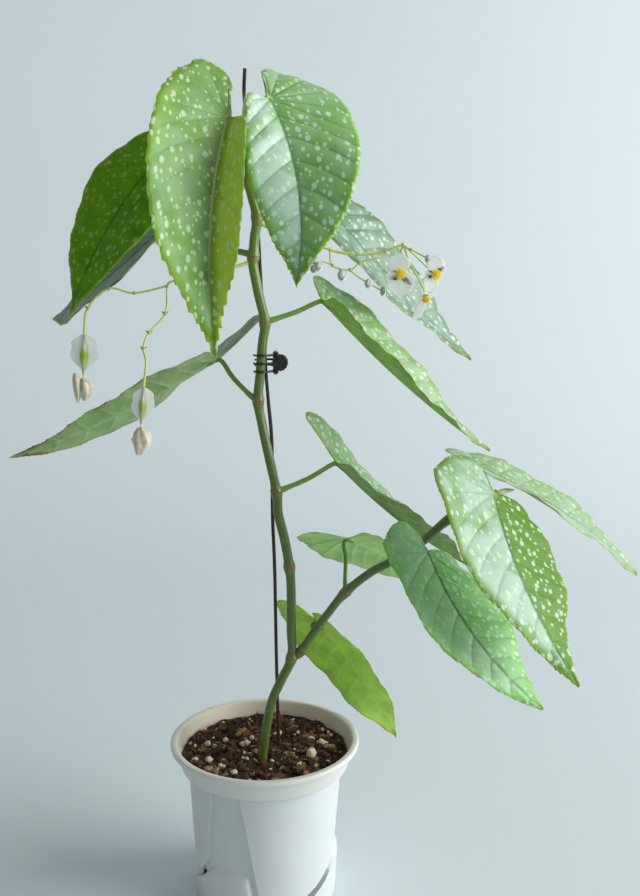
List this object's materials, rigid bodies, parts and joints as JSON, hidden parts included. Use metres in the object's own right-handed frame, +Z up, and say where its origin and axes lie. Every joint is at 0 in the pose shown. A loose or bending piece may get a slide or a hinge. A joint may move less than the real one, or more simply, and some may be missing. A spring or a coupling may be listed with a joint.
{
  "type": "potted begonia",
  "caption": "Angel-wing begonia with white-spotted leaves, winged seed pods and white blooms, clipped to a dark stick in a cream slit pot of bark mix.",
  "frame": {"origin": "middle of the pot's underside, on the pot's axis", "axes": "+Z up along the pot's axis, -Y towards the front of the plant, +X to its right"},
  "size_m": [0.3828, 0.1821, 0.5152],
  "materials": {
    "pot_plastic": "satin",
    "potting_mix": "rough",
    "cane_green": "satin",
    "leaf": "glossy",
    "stick": "satin",
    "clip_plastic": "gloss",
    "pin_steel": "plain",
    "flower_stalk": "satin",
    "petal_white": "matt",
    "stamen_yellow": "matt",
    "young_sheath": "satin"
  },
  "bodies": {
    "plant": {"pot": "pot_plastic", "soil": "potting_mix", "cane": "cane_green", "support_stick": "stick", "clip_back": "clip_plastic", "clip_pin": "pin_steel", "leaf_top_left": "leaf", "leaf_top_right": "leaf", "leaf_back_left_high": "leaf", "leaf_back_left_low": "leaf", "leaf_left_long": "leaf", "leaf_back_right": "leaf", "leaf_right_high": "leaf", "leaf_right_middle": "leaf", "leaf_branch_end": "leaf", "leaf_branch_front": "leaf", "leaf_branch_back": "leaf", "leaf_branch_small": "leaf", "leaf_low": "leaf", "flower_stalk_left": "flower_stalk", "flower_stalk_right": "flower_stalk", "pod_left": "petal_white", "pod_right": "petal_white", "bloom_left": "petal_white", "bloom_right": "petal_white", "bloom_low": "petal_white", "stamens_left": "stamen_yellow", "stamens_right": "stamen_yellow", "stamens_low": "stamen_yellow", "young_sheath_top": "young_sheath", "young_sheath_branch": "young_sheath"},
    "clip_jaw": {"clip_front": "clip_plastic"}
  },
  "joints": [
    {"name": "clip_jaw_hinge", "type": "hinge", "parent": "plant", "child": "clip_jaw", "pos_m": [0.009, -0.005, 0.346], "axis": [0, 0, 1], "range_deg": [0, 30], "stiffness_Nm_per_rad": 0.002, "springref_deg": -17.19}
  ]
}
